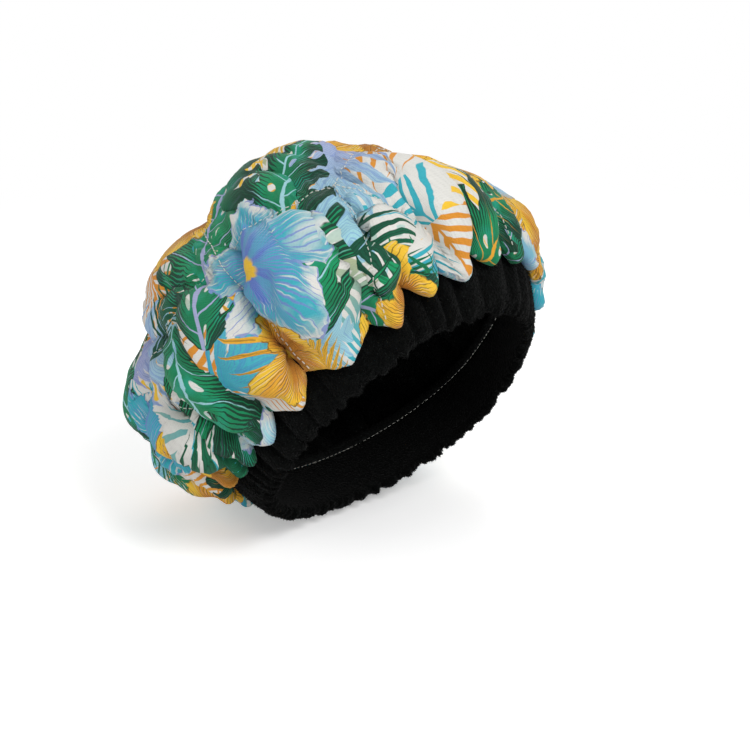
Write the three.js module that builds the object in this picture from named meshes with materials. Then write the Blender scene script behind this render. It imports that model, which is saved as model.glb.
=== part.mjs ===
// Heat cap: a round cap of printed cotton over seed-filled pockets, quilted in a square grid and gathered
// into a wide elasticated edge of black terry. It has the shape it takes when worn, with its opening tilted
// from the forehead down to the nape.
// Units are millimetres. +Z is up, the forehead side is towards -Y and the wearer's right is towards -X.
// The origin is the centre of the opening, in the plane of the edge that lies on the head.

import * as THREE from 'three';

// Opening: an egg-shaped ring in a plane that is tilted back from the forehead
const openingWidth = 162;
const openingFrontLength = 104;
const openingNapeLength = 64;
const openingTilt = THREE.MathUtils.degToRad(53);
// A quarter turn of the ring is longest at its flat sides, which this share evens out
const arcEvenShare = 0.06;

// Body: an ellipsoid that the quilted cloth lies on, larger than the head because of its filling and hair
const bodyCentreLeft = -1;
const bodyCentreBack = 52;
const bodyCentreUp = 46;
const bodyWidth = 226;
const bodyLength = 240;
const bodyHeight = 184;
const bodyLean = THREE.MathUtils.degToRad(45);

// Edge band: a folded casing of terry, open at its top, that flares out from the head
const bandHeight = 36;
const bandFlare = 15;
const bandLeft = 5;
const bandCloth = 2.2;
const bandPleatDepth = 3;
const bandPleats = 48;

// Quilted cloth
const coverCloth = 1;
const liningCloth = 1.6;
const seamGap = 0.4;
const hemGap = 0.4;
const clothRadius = 245;
const fillGap = 0.7;
const puffOut = 11;
const puffIn = 3;
const puffSag = 3;

// Elastic in the casing
const elasticWidth = 22;
const elasticThickness = 1.2;
const elasticRoom = 0.4;

// Square grid of pockets: three across inside and one more on each side that runs into the edge
const cellsAcross = 5;
const stepsPerCell = 4;
// Steps of an outermost pocket and the edge beyond it: two inside, its end, the lip, the brow and the hem
const rimStepShares = [0, 0.2, 0.4, 0.58, 0.68, 0.9, 1];
const [, , , rimPocketShare, lipStepShare, browStepShare] = rimStepShares;
// The grid is turned on the head, and its middle lies behind the middle of the cloth
const gridTurn = THREE.MathUtils.degToRad(25.5);
const gridReachShare = 0.86;
const gridBackShare = 0.17;
const gridRightShare = 0.03;
const squareShare = 0.35;
const roundShare = 0.84;
const pillowShare = 0.66;
// How full each pocket is, by column from the nape and by row from the wearer's left
const pocketFillShares = [
  [0.3, 0.9, 0.9, 1, 0.6],
  [0.9, 0.8, 0.8, 0.9, 1.2],
  [0.9, 0.7, 0.8, 1.2, 1.4],
  [1, 0.7, 0.7, 0.8, 1.7],
  [0.3, 0.9, 0.9, 0.9, 0.8]];
const fillRimShare = 0.4;
const fillCornerShare = 0.66;
const fillThinShare = 0.8;

// Gathers: the cloth is drawn into the edge in folds whose lips hang over the band, lowest at the ears
const folds = 17;
const foldDepth = 7;
const foldNotch = 9;
const lipUp = 25;
const lipUpAtNape = 7;
const lipDownAtEars = 6;
const lipClearance = 5;
const skirtStartShare = 0.54;
const skirtEndShare = 0.82;
// Where the cap is fuller or flatter than its ellipsoid: place and reach on the round cloth, and how far out
const fullness = [
  { x: -0.02, y: -0.41, reach: 0.24, out: -8 },
  { x: 0.43, y: -0.08, reach: 0.26, out: 7 },
  { x: 0.66, y: 0.32, reach: 0.22, out: -10 },
  { x: 0.48, y: 0.6, reach: 0.22, out: -6 },
  { x: -0.52, y: -0.54, reach: 0.18, out: -6 },
  { x: -0.4, y: -0.5, reach: 0.18, out: 6 }];
const fullnessEndShare = 0.66;
// Distance over which the slope of the cloth is measured
const slopeShare = 0.012;

// Stitches
const threadSize = 0.9;
const threadGap = 0.95;
const threadStopSteps = 3;
const hemThreadDrop = 3;

const cotton = new THREE.MeshStandardMaterial({ name: 'printed_cotton', color: 0x3fa27c, roughness: 0.85 });
const terry = new THREE.MeshStandardMaterial({ name: 'black_terry', color: 0x0c0d0c, roughness: 1 });
const elasticCloth = new THREE.MeshStandardMaterial({ name: 'elastic', color: 0xe6e4dd, roughness: 0.8 });
const seeds = new THREE.MeshStandardMaterial({ name: 'flax_seed', color: 0x8a5a2c, roughness: 0.6 });
const thread = new THREE.MeshStandardMaterial({ name: 'thread', color: 0xf0efe9, roughness: 0.7 });

const left = new THREE.Vector3(1, 0, 0);
const upwards = new THREE.Vector3(0, 0, 1);
const towardsNape = new THREE.Vector3(0, Math.cos(openingTilt), -Math.sin(openingTilt));
const towardsCrown = new THREE.Vector3(0, Math.sin(openingTilt), Math.cos(openingTilt));
const bodyBack = new THREE.Vector3(0, Math.cos(bodyLean), -Math.sin(bodyLean));
const bodyUp = new THREE.Vector3(0, Math.sin(bodyLean), Math.cos(bodyLean));
const bodyCentre = new THREE.Vector3(bodyCentreLeft, bodyCentreBack, bodyCentreUp);

// The band's section is laid out along its slope and out from it, and its hollow takes the elastic
const bandSlope = Math.atan2(bandFlare, bandHeight);
const bandReach = Math.hypot(bandFlare, bandHeight);
const hollow = elasticThickness + 2 * elasticRoom;
const bandThickness = 2 * bandCloth + hollow;
const browRise = coverCloth + seamGap / 2 + hemGap;
const lipShare = rimShare(lipStepShare);
const browShare = rimShare(browStepShare);

const ease = (value, start, end) => THREE.MathUtils.smoothstep(value, start, end);

// Share of the cloth's radius at a share of the outermost pocket
function rimShare(pocketShare) {
  return 1 - 2 * (1 - pocketShare) / cellsAcross;
}

// Angles run from the forehead towards the wearer's left, in even lengths of the gathered edge
function edgePoint(angle, grow, rise) {
  const turn = angle + arcEvenShare * Math.sin(2 * angle);
  const length = Math.cos(turn) > 0 ? openingFrontLength : openingNapeLength;
  return new THREE.Vector3()
    .addScaledVector(left, Math.sin(turn) * (openingWidth / 2 + grow) + bandLeft * rise / bandHeight)
    .addScaledVector(towardsNape, -Math.cos(turn) * (length + grow))
    .addScaledVector(towardsCrown, rise);
}

function bandPoint(angle, along, out) {
  const grow = along * Math.sin(bandSlope) + out * Math.cos(bandSlope);
  const rise = along * Math.cos(bandSlope) - out * Math.sin(bandSlope);
  return edgePoint(angle, grow, rise);
}

// Height of a fold, from 0 in a valley to 1 on its crest
const foldWave = (angle) => (1 + Math.cos(folds * angle)) / 2;

// The skirt of the cloth stands off the band, and its lip hangs furthest down at the ears and on the folds
function skirtPoint(angle, rise) {
  const wave = foldWave(angle);
  const crest = lipUp - lipUpAtNape * Math.cos(angle) + lipDownAtEars * Math.cos(2 * angle);
  const lip = crest + foldNotch * (1 - wave);
  return bandPoint(angle, lip + rise, bandThickness + bandPleatDepth + lipClearance + foldDepth * wave);
}

// From its lip the cloth turns up to the brow and lies over the top of the band
function underLip(angle, share) {
  const top = bandReach + browRise;
  const brow = bandPoint(angle, top, bandThickness + browRise);
  if (share < browShare) return skirtPoint(angle, 0).lerp(brow, (share - lipShare) / (browShare - lipShare));
  return brow.lerp(bandPoint(angle, top, 0), (share - browShare) / (1 - browShare));
}

// Middle of the quilt, at a place on the flat cloth whose rim has radius 1
function quiltMiddle(x, y) {
  const share = Math.min(Math.hypot(x, y), 1);
  const angle = Math.atan2(y, x);
  if (share >= lipShare) return underLip(angle, share);
  const toLip = skirtPoint(angle, 0).sub(bodyCentre).normalize();
  const arc = Math.acos(toLip.dot(towardsCrown)) * share / lipShare;
  const across = toLip.addScaledVector(towardsCrown, -toLip.dot(towardsCrown)).normalize();
  const ray = towardsCrown.clone().multiplyScalar(Math.cos(arc)).addScaledVector(across, Math.sin(arc));
  const scaled = new THREE.Vector3(
    ray.dot(left) / (bodyWidth / 2),
    ray.dot(bodyBack) / (bodyLength / 2),
    ray.dot(bodyUp) / (bodyHeight / 2));
  const body = bodyCentre.clone().addScaledVector(ray, 1 / scaled.length());
  const skirt = skirtPoint(angle, (lipShare - share) * clothRadius);
  return body
    .lerp(skirt, ease(share, skirtStartShare, skirtEndShare))
    .addScaledVector(ray, fuller(x, y, share));
}

// How far the cloth stands out from its ellipsoid, fading towards the lip
function fuller(x, y, share) {
  const outs = fullness.map((spot) => spot.out * Math.exp(-(((x - spot.x) / spot.reach) ** 2)
    - ((y - spot.y) / spot.reach) ** 2));
  return outs.reduce((sum, out) => sum + out, 0) * (1 - ease(share, fullnessEndShare, lipShare));
}

function quiltNormal(x, y) {
  const inward = Math.min(1, (1 - slopeShare) / Math.max(Math.hypot(x, y), slopeShare));
  const [u, v] = [x * inward, y * inward];
  const alongX = quiltMiddle(u + slopeShare, v).sub(quiltMiddle(u - slopeShare, v));
  const alongY = quiltMiddle(u, v + slopeShare).sub(quiltMiddle(u, v - slopeShare));
  return alongX.cross(alongY).normalize();
}

// Lines of the grid, each with its place, its pocket and its share of that pocket
const half = cellsAcross / 2;
const innerShares = Array.from({ length: stepsPerCell }, (_, k) => k / stepsPerCell);
const lines = [
  ...rimStepShares.slice(1).reverse().map((share) => ({ place: 1 - half - share, cell: 0, share })),
  ...Array.from({ length: cellsAcross - 2 }, (_, cell) => innerShares.map(
    (share) => ({ place: 1 - half + cell + share, cell: cell + 1, share }))).flat(),
  ...rimStepShares.map((share) => ({ place: half - 1 + share, cell: cellsAcross - 1, share }))];
const gridSteps = lines.length - 1;

// The square grid fills the round cloth: it keeps its square pockets inside and turns round at the edge
function discPlace(a, b) {
  const nearRim = Math.max(Math.abs(a), Math.abs(b)) / half;
  const settle = 1 - nearRim * nearRim;
  const reach = gridReachShare / half;
  const x = (a * Math.cos(gridTurn) + b * Math.sin(gridTurn)) * reach - gridBackShare * settle;
  const y = (a * Math.sin(gridTurn) - b * Math.cos(gridTurn)) * reach - gridRightShare * settle;
  const radius = Math.hypot(x, y);
  const pulled = THREE.MathUtils.lerp(radius, nearRim, ease(nearRim, squareShare, roundShare));
  const scale = radius > 0 ? pulled / radius : 1;
  return [x * scale, y * scale];
}

const isCorner = (column, row) => [0, cellsAcross - 1].includes(column) && [0, cellsAcross - 1].includes(row);

// Share of a pocket's width; the outermost pockets end where the cloth turns over the band
function pocketSpan({ cell, share }) {
  const isRim = cell === 0 || cell === cellsAcross - 1;
  return isRim ? Math.min(share / rimPocketShare, 1) : share;
}

// Height of a pocket across one direction, from 0 on its seams to 1 at its middle
const puffAcross = (line) => Math.max(0, Math.sin(Math.PI * pocketSpan(line))) ** pillowShare;

const grid = lines.map((one) => lines.map((other) => {
  const [x, y] = discPlace(one.place, other.place);
  const normal = quiltNormal(x, y);
  const downhill = upwards.clone().negate().addScaledVector(normal, normal.dot(upwards));
  const swell = puffAcross(one) * puffAcross(other);
  const full = swell * pocketFillShares[one.cell][other.cell];
  return { middle: quiltMiddle(x, y), normal, downhill, swell, full };
}));

// The seeds puff each pocket outwards by how full it is and drag it down, and press it evenly on the hair
const outerLayer = (offset) => grid.map((line) => line.map(
  ({ middle, normal, downhill, full }) => middle.clone()
    .addScaledVector(normal, offset + puffOut * full)
    .addScaledVector(downhill, puffSag * full)));
const innerLayer = (offset) => grid.map((line) => line.map(
  ({ middle, normal, swell }) => middle.clone().addScaledVector(normal, -offset - puffIn * swell)));

const coverInside = outerLayer(seamGap / 2);
const coverOutside = outerLayer(seamGap / 2 + coverCloth);
const liningOutside = innerLayer(seamGap / 2);
const liningInside = innerLayer(seamGap / 2 + liningCloth);

// Diagonals of the grid's facets run out to the corners of the cloth
const leansForward = (i, j) => (2 * i < gridSteps) === (2 * j < gridSteps);

function solidFrom(points, triangles) {
  const geometry = new THREE.BufferGeometry();
  geometry.setAttribute('position', new THREE.Float32BufferAttribute(points.flatMap((p) => p.toArray()), 3));
  geometry.setIndex(triangles.flat());
  geometry.computeVertexNormals();
  return geometry;
}

// Closed sheet between an outer and an inner grid of points that start at the given place in the whole grid
function sheetBetween(outer, inner, [firstI, firstJ] = [0, 0]) {
  const rows = outer.length;
  const columns = outer[0].length;
  const points = [...outer.flat(), ...inner.flat()];
  const at = (i, j) => i * columns + j;
  const under = (i, j) => rows * columns + at(i, j);
  const triangles = [];
  for (let i = 0; i < rows - 1; i++) {
    for (let j = 0; j < columns - 1; j++) {
      const corners = [[i, j], [i + 1, j], [i + 1, j + 1], [i, j + 1]];
      const facing = leansForward(firstI + i, firstJ + j);
      const [p, q, r, s] = facing ? corners : [...corners.slice(1), corners[0]];
      triangles.push([at(...p), at(...r), at(...q)], [at(...p), at(...s), at(...r)]);
      triangles.push([under(...p), under(...q), under(...r)], [under(...p), under(...r), under(...s)]);
    }
  }
  const rim = [
    ...outer.slice(0, -1).map((_, i) => [i, 0]),
    ...outer[0].slice(0, -1).map((_, j) => [rows - 1, j]),
    ...outer.slice(1).map((_, i) => [rows - 1 - i, columns - 1]),
    ...outer[0].slice(1).map((_, j) => [0, columns - 1 - j])];
  rim.forEach((here, k) => {
    const next = rim[(k + 1) % rim.length];
    triangles.push([at(...here), at(...next), under(...next)], [at(...here), under(...next), under(...here)]);
  });
  return solidFrom(points, triangles);
}

// Skin over a row of like sections, joined end to end or closed by its two end sections
function skinOver(sections, closed) {
  const count = sections[0].length;
  const points = sections.flat();
  const triangles = [];
  const spans = closed ? sections.length : sections.length - 1;
  for (let k = 0; k < spans; k++) {
    const here = k * count;
    const next = ((k + 1) % sections.length) * count;
    for (let m = 0; m < count; m++) {
      const up = (m + 1) % count;
      triangles.push([here + m, next + up, next + m], [here + m, here + up, next + up]);
    }
  }
  if (!closed) {
    const last = (sections.length - 1) * count;
    for (let m = 1; m < count - 1; m++) {
      triangles.push([0, m + 1, m], [last, last + m, last + m + 1]);
    }
  }
  return solidFrom(points, triangles);
}

// Place on the facets of a layer, between its grid points
function facetPlace(points, i, j) {
  const low = [Math.min(Math.floor(i), gridSteps - 1), Math.min(Math.floor(j), gridSteps - 1)];
  const [u, v] = [i - low[0], j - low[1]];
  const corner = (a, b) => points[low[0] + a][low[1] + b];
  const [near, along, across, far] = leansForward(...low)
    ? [1 - Math.max(u, v), Math.max(u - v, 0), Math.max(v - u, 0), Math.min(u, v)]
    : [Math.max(1 - u - v, 0), Math.min(u, 1 - v), Math.min(v, 1 - u), Math.max(u + v - 1, 0)];
  return new THREE.Vector3()
    .addScaledVector(corner(0, 0), near)
    .addScaledVector(corner(1, 0), along)
    .addScaledVector(corner(0, 1), across)
    .addScaledVector(corner(1, 1), far);
}

const fillTop = outerLayer(seamGap / 2 - fillGap);
const fillUnder = innerLayer(seamGap / 2 - fillGap);

// Lines of the grid from one side of a pocket to the other, both seams included
function pocketLines(cell) {
  const inside = [...lines.keys()].filter((k) => lines[k].cell === cell && pocketSpan(lines[k]) % 1 > 0);
  return [inside[0] - 1, ...inside, inside.at(-1) + 1];
}

// A pocket's seeds keep clear of its seams and corners, and thin out towards them
function seedFill(column, row) {
  const [columns, rows] = [pocketLines(column), pocketLines(row)];
  const inwards = (steps, m) => (m === 0) - (m === steps.length - 1);
  const places = (points, others) => columns.map((i, m) => rows.map((j, n) => {
    const [inI, inJ] = [inwards(columns, m), inwards(rows, n)];
    const share = inI && inJ ? fillCornerShare : fillRimShare;
    const place = [i + inI * share, j + inJ * share];
    const thin = inI || inJ ? fillThinShare / 2 : 0;
    return facetPlace(points, ...place).lerp(facetPlace(others, ...place), thin);
  }));
  return sheetBetween(places(fillTop, fillUnder), places(fillUnder, fillTop), [columns[0], rows[0]]);
}

// Casing: outer face with pleats, round the edge on the head, up the inner leg and round the hollow
function casingSection(angle, ridge) {
  const pleat = bandPleatDepth * ridge;
  const outer = [
    [bandReach, bandThickness + pleat / 4],
    [bandReach * 2 / 3, bandThickness + pleat],
    [bandReach / 3, bandThickness + pleat],
    [bandCloth / 2, bandThickness * 3 / 4 + pleat / 2],
    [0, bandThickness / 2]];
  const inner = [[bandCloth / 2, 0], [bandReach, 0]];
  const hollowSides = [
    [bandReach, bandCloth], [bandCloth, bandCloth],
    [bandCloth, bandCloth + hollow], [bandReach, bandCloth + hollow]];
  return [...outer, ...inner, ...hollowSides].map(([along, out]) => bandPoint(angle, along, out));
}

function aroundBand(section) {
  const count = 2 * bandPleats;
  const sections = Array.from({ length: count }, (_, k) => section(2 * Math.PI * k / count, k % 2));
  return skinOver(sections, true);
}

function elasticSection(angle) {
  const low = bandCloth + elasticRoom;
  const near = bandCloth + elasticRoom;
  const corners = [
    [low, near + elasticThickness], [low, near],
    [low + elasticWidth, near], [low + elasticWidth, near + elasticThickness]];
  return corners.map(([along, out]) => bandPoint(angle, along, out));
}

// The hem's stitches run round the inside of the band, just below its top
function hemThreadSection(angle) {
  const top = bandReach - hemThreadDrop;
  const corners = [
    [top, -threadGap], [top - threadSize, -threadGap],
    [top - threadSize, -threadGap - threadSize], [top, -threadGap - threadSize]];
  return corners.map(([along, out]) => bandPoint(angle, along, out));
}

// A seam's thread lies in the valley of the cover, and passes over the threads of the other direction
function seamThread(line, alongRows) {
  const places = [];
  for (let k = threadStopSteps; k <= gridSteps - threadStopSteps; k++) {
    places.push(alongRows ? [line, k] : [k, line]);
  }
  const lift = threadSize + threadGap;
  const path = places.map(([i, j]) => {
    const crossing = alongRows && lines[j].share === 0;
    const height = threadGap + threadSize / 2 + (crossing ? lift : 0);
    return coverOutside[i][j].clone().addScaledVector(grid[i][j].normal, height);
  });
  const sections = path.map((point, k) => {
    const ahead = path[Math.min(k + 1, path.length - 1)].clone().sub(path[Math.max(k - 1, 0)]).normalize();
    const up = grid[places[k][0]][places[k][1]].normal;
    const side = ahead.clone().cross(up).normalize();
    return [[1, 1], [1, -1], [-1, -1], [-1, 1]].map(([s, u]) => point.clone()
      .addScaledVector(side, s * threadSize / 2)
      .addScaledVector(up, u * threadSize / 2));
  });
  return skinOver(sections, false);
}

const cap = new THREE.Group();

function addPiece(name, geometry, material) {
  const mesh = new THREE.Mesh(geometry, material);
  mesh.name = name;
  cap.add(mesh);
}

addPiece('outer_cover', sheetBetween(coverOutside, coverInside), cotton);
addPiece('lining', sheetBetween(liningOutside, liningInside), terry);
addPiece('edge_band', aroundBand(casingSection), terry);
addPiece('elastic', aroundBand(elasticSection), elasticCloth);
addPiece('hem_thread', aroundBand(hemThreadSection), thread);

for (let column = 0; column < cellsAcross; column++) {
  for (let row = 0; row < cellsAcross; row++) {
    if (!isCorner(column, row)) addPiece(`seed_fill_${column + 1}_${row + 1}`, seedFill(column, row), seeds);
  }
}

for (let seam = 1; seam < cellsAcross; seam++) {
  const line = rimStepShares.length - 1 + (seam - 1) * stepsPerCell;
  addPiece(`long_seam_thread_${seam}`, seamThread(line, true), thread);
  addPiece(`cross_seam_thread_${seam}`, seamThread(line, false), thread);
}

export default cap;
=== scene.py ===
"""Heat cap: a quilted cap of printed cotton over seed-filled pockets, with a gathered edge of black terry.

It builds the cap's cloth, stitches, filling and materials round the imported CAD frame. Lengths are in metres.
"""

import math
from types import SimpleNamespace

import bpy
import numpy as np
from mathutils import Matrix, Vector


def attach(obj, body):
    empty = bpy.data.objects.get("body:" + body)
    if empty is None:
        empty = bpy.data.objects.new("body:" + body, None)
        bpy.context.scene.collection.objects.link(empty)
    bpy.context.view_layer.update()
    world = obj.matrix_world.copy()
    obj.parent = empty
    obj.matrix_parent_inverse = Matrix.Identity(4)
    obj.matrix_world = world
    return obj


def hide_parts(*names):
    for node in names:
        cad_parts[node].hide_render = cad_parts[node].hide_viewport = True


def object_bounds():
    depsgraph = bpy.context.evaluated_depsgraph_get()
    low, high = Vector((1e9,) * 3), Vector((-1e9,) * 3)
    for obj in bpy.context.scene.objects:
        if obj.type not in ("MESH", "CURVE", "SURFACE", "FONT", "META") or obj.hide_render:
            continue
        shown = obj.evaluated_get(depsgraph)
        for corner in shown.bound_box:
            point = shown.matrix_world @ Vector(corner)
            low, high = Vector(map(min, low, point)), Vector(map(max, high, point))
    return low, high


bl_info = {
    "name": "Heat Cap",
    "version": (1, 0, 0),
    "blender": (4, 5, 0),
    "location": "3D View > Sidebar > Heat Cap",
    "description": "Makes a quilted heat cap with its cloth, stitches, filling and studio",
    "category": "Add Mesh",
}

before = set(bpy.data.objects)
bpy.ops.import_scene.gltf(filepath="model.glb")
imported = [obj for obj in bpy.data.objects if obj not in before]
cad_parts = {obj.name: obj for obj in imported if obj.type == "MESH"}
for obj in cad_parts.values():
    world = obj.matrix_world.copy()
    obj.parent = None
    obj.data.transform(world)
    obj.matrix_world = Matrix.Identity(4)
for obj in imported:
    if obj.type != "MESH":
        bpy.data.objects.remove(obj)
CAD_LOW, CAD_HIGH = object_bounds()
BODY = "root"
MM = 0.001

# Opening ring and the body that the cloth lies on, as in the CAD frame
OPENING_WIDTH = 162 * MM
OPENING_FRONT = 104 * MM
OPENING_NAPE = 64 * MM
OPENING_TILT = math.radians(53)
ARC_EVEN_SHARE = 0.06
BODY_CENTRE = np.array([-1, 52, 46]) * MM
BODY_WIDTH = 226 * MM
BODY_LENGTH = 240 * MM
BODY_HEIGHT = 184 * MM
BODY_LEAN = math.radians(45)
CLOTH_RADIUS = 245 * MM

# Band of folded terry
BAND_HEIGHT = 36 * MM
BAND_FLARE = 15 * MM
BAND_LEFT = 5 * MM
BAND_CLOTH = 2.2 * MM
BAND_HOLLOW = 2 * MM
BAND_SLOPE = math.atan2(BAND_FLARE, BAND_HEIGHT)
BAND_REACH = math.hypot(BAND_FLARE, BAND_HEIGHT)
BAND_THICKNESS = 2 * BAND_CLOTH + BAND_HOLLOW
PLEATS = 40
PLEAT_UNEVENNESS = 5.5
PLEAT_POWER = 0.65

# Terry loops on the band, and how far its edge is ragged by them and by its pleats, in millimetres
LOOP_COUNT = 15000
LOOP_ROOT = 0.3
LOOP_HEIGHTS = (0.5, 1.25)
LOOP_WIDTHS = (0.28, 0.45)
TUFT_RAGGED = 1.5
PLEAT_RAGGED = 1.6

# Elastic tape in the band
TAPE_WIDTH = 22 * MM
TAPE_THICKNESS = 0.8 * MM
TAPE_RIPPLES = 72
TAPE_RIPPLE_HEIGHT = 0.2 * MM

# Stitches: sides of the thread, share of the pitch that is thread, its bevel as a share of its width, how far
# in millimetres it stands out of the cotton, and how far below its top the band is sewn on
STITCH_SIDES = 7
STITCH_SHARE = 0.62
STITCH_BEVEL = 0.24
STITCH_LIFT = 0.15
HEM_INSET = 2 * MM

# Layers of the quilt: steps across an inner and a rim pocket, thickness, distance from the quilt's middle and
# where they end at the hem
COTTON_STEPS = (36, 48)
LINING_STEPS = (20, 26)
COTTON_THICKNESS = 0.7 * MM
LINING_THICKNESS = 1.6 * MM
LAYER_OFFSET = 1.2 * MM
LEAST_OFFSET = 0.7 * MM
COTTON_HEM_OUT = 1.5 * MM
LINING_HEM_OUT = -LAYER_OFFSET - LINING_THICKNESS - 0.4 * MM
LINING_HEM_DROP = 6 * MM

# Square grid of pockets on the round cloth
CELLS = 5
HALF = CELLS / 2
GRID_TURN = math.radians(25.5)
GRID_REACH = 0.86
GRID_BACK = 0.17
GRID_RIGHT = 0.03
SQUARE_SHARE = 0.35
ROUND_SHARE = 0.84
LIP_SHARE = 0.872
BROW_SHARE = 0.96
SKIRT_START = 0.54
SKIRT_END = 0.82
RELIEF_END = 0.8

# Lip of the gathered cloth and the folds above it: how far they swell, and the crest height that lies level
# with the lip and with the body
LIP_OUT = 14 * MM
PLAIN_LIP_UP = (25, 7, 6)
LIP_SWELL = 0.8
LIP_LEVEL = 0.3
CREST_SWELL = 0.45
CREST_LEVEL = 0.6
CREST_POWER = 0.7
TIP_OWN_SHARE = 0.6
FOLD_NOTCH = 10.5 * MM
ROUND_TIP_SHARE = 0.4
FOLD_SKEW = 1.3
FOLD_EDGE = 4.5 * MM
EDGE_SHARE = 0.55
CURL_UP = 2 * MM
UNDER_LIP_GAP = 3.4 * MM
NOSE_SHARE = 0.6
BROW_RISE = 2 * MM
BROW_GAP = 1.5 * MM
VALLEY_DEPTH = 3 * MM
VALLEY_WIDTH = 6 * MM

# Folds of the gathers, from the nape round the wearer's right side, the forehead and the left side: where the
# valley before each fold lies in degrees from the forehead, how high up the band its crest ends and how far
# it stands out in millimetres, and the share of the cloth at which its valley starts
FOLDS = (
    (-178, 38, 6, 0.70), (-161, 37, 7, 0.66), (-145, 34, 7, 0.70), (-129, 29, 9, 0.62), (-114, 25, 8, 0.66),
    (-101, 20, 8, 0.60), (-92, 18, 6, 0.72), (-85, 17, 9, 0.62), (-72, 18, 8, 0.70), (-57, 18, 12, 0.58),
    (-36, 16, 9, 0.60), (-25, 23, 8, 0.74), (-14, 21, 11, 0.66), (-3.5, 25, 8, 0.52), (9, 27, 7, 0.66),
    (20, 26, 8, 0.60), (33, 30, 8, 0.70), (47, 27, 9, 0.58), (61, 24, 8, 0.68), (74, 21, 7, 0.62),
    (87, 19, 9, 0.70), (101, 20, 8, 0.60), (114, 22, 7, 0.68), (128, 26, 9, 0.62), (143, 30, 7, 0.70),
    (156, 34, 8, 0.64), (169, 37, 6, 0.70))

# Where the cap is fuller or flatter than an ellipsoid: place on the flat cloth, reach, millimetres outwards
FULLNESS = (
    (-0.02, -0.41, 0.24, -8), (0.43, -0.08, 0.26, 7), (0.66, 0.32, 0.22, -12), (0.48, 0.60, 0.22, -8),
    (-0.52, -0.54, 0.18, -6), (-0.40, -0.50, 0.18, 6), (-0.25, -0.42, 0.14, -5))
FULLNESS_END = 0.7

# Long valleys that run free of the seams: both ends on the flat cloth, then depth and height of the rolls
# beside them in millimetres
LONG_FOLDS = (
    (0.30, -0.42, 0.48, -0.73, 11, 5), (0.45, -0.38, 0.75, -0.38, 8, 5), (0.37, -0.24, 0.60, -0.34, 5, 2),
    (0.20, -0.18, 0.34, -0.34, 4, 2), (0.42, -0.08, 0.62, -0.20, 4, 2), (0.64, -0.29, 0.85, -0.23, 8, 4),
    (0.05, -0.49, 0.30, -0.47, 6, 2), (-0.06, -0.50, 0.19, -0.82, 9, 5), (-0.22, -0.55, -0.04, -0.86, 8, 4),
    (0.56, 0.40, 0.72, 0.44, 6, 3), (0.22, 0.46, 0.26, 0.78, 7, 4), (-0.10, 0.45, -0.24, 0.72, 6, 3),
    (-0.45, 0.30, -0.66, 0.40, 7, 4), (-0.50, -0.10, -0.76, -0.12, 7, 3), (-0.42, -0.38, -0.60, -0.58, 6, 3))
LONG_FOLD_WIDTH = 5 * MM
LONG_FOLD_SHARE = 0.7
LONG_FOLD_BEND = 0.12
ROLL_BESIDE = 12 * MM
ROLL_WIDTH = 8 * MM

# Fine relief of the cotton: gathers up from the band and sharp creases, each with how often it comes, its
# height as a multiple of the crease setting and the seed of its unevenness
GATHERS = ((17, 2.6, 5), (41, 1.4, 6))
CREASES = ((3.4, 1.0, 11), (6.5, 0.6, 12))
RADIAL_CREASES = ((2.6, 1.6, 31), (5.2, -0.8, 32))
CREASE_SHARPNESS = 2.2
PUCKERS_PER_POCKET = (8.7, 8.1)
PUCKER_REACH = 0.13
SAG_POWER = 1.5

# How full each pocket is, by column from the nape and by row from the wearer's left
PILLOW_SHARE = 0.9
RIM_POCKET_SHARE = 0.62
POCKET_FILL = np.array([
    [0.3, 0.9, 0.9, 1.0, 0.6],
    [0.9, 0.8, 0.8, 0.9, 1.2],
    [0.9, 0.7, 0.8, 1.2, 1.3],
    [1.0, 0.7, 0.7, 0.8, 1.5],
    [0.3, 0.9, 0.9, 0.9, 0.8]])

# Seeds: the share of a pocket's puff at which they start, the shares between which they swell, and how much
# of the space between the cloths they then take to either side of its middle
SEEDS_FROM = 0.12
SEEDS_SWELL = (0.05, 0.35)
SEEDS_DEEP = 0.28

# Camera of the photograph, with its focal length as a share of the picture's width
CAMERA_AZIMUTH = math.radians(-44)
CAMERA_ELEVATION = math.radians(18.5)
CAMERA_DISTANCE = 0.831
CAMERA_RIGHT = -10.67 * MM
CAMERA_UP = 33.91 * MM
SENSOR_WIDTH = 36
FOCAL_SHARE = 1458 / 750

# Studio: the paper's size, its gap under the cap, its glow and the distances over which it fades to white,
# the world's light and what the camera sees of it besides, and the lamps' places, sizes and powers
PAPER_SIZE = 60
PAPER_GAP = 2 * MM
PAPER_GLOW = 0.35
PAPER_FADE = (0.35, 1.1)
WORLD_LIGHT = 0.36
WORLD_SEEN = 0.64
LAMPS = (
    ("key", (-0.15, -1.3, 1.3), 0.8, 22),
    ("side", (-1.5, 0.2, 0.8), 1.1, 8),
    ("rim", (0.9, 0.9, 1.2), 0.9, 8))

LEFT = np.array([1.0, 0.0, 0.0])
UPWARDS = np.array([0.0, 0.0, 1.0])
TOWARDS_NAPE = np.array([0.0, math.cos(OPENING_TILT), -math.sin(OPENING_TILT)])
TOWARDS_CROWN = np.array([0.0, math.sin(OPENING_TILT), math.cos(OPENING_TILT)])
BODY_BACK = np.array([0.0, math.cos(BODY_LEAN), -math.sin(BODY_LEAN)])
BODY_UP = np.array([0.0, math.sin(BODY_LEAN), math.cos(BODY_LEAN)])


def smooth(value, start, end):
    share = np.clip((value - start) / (end - start), 0, 1)
    return share * share * (3 - 2 * share)


def unit(vectors):
    return vectors / np.maximum(np.linalg.norm(vectors, axis=-1, keepdims=True), 1e-9)


def lerp(start, end, share):
    return start + (end - start) * np.asarray(share)[..., None]


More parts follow.
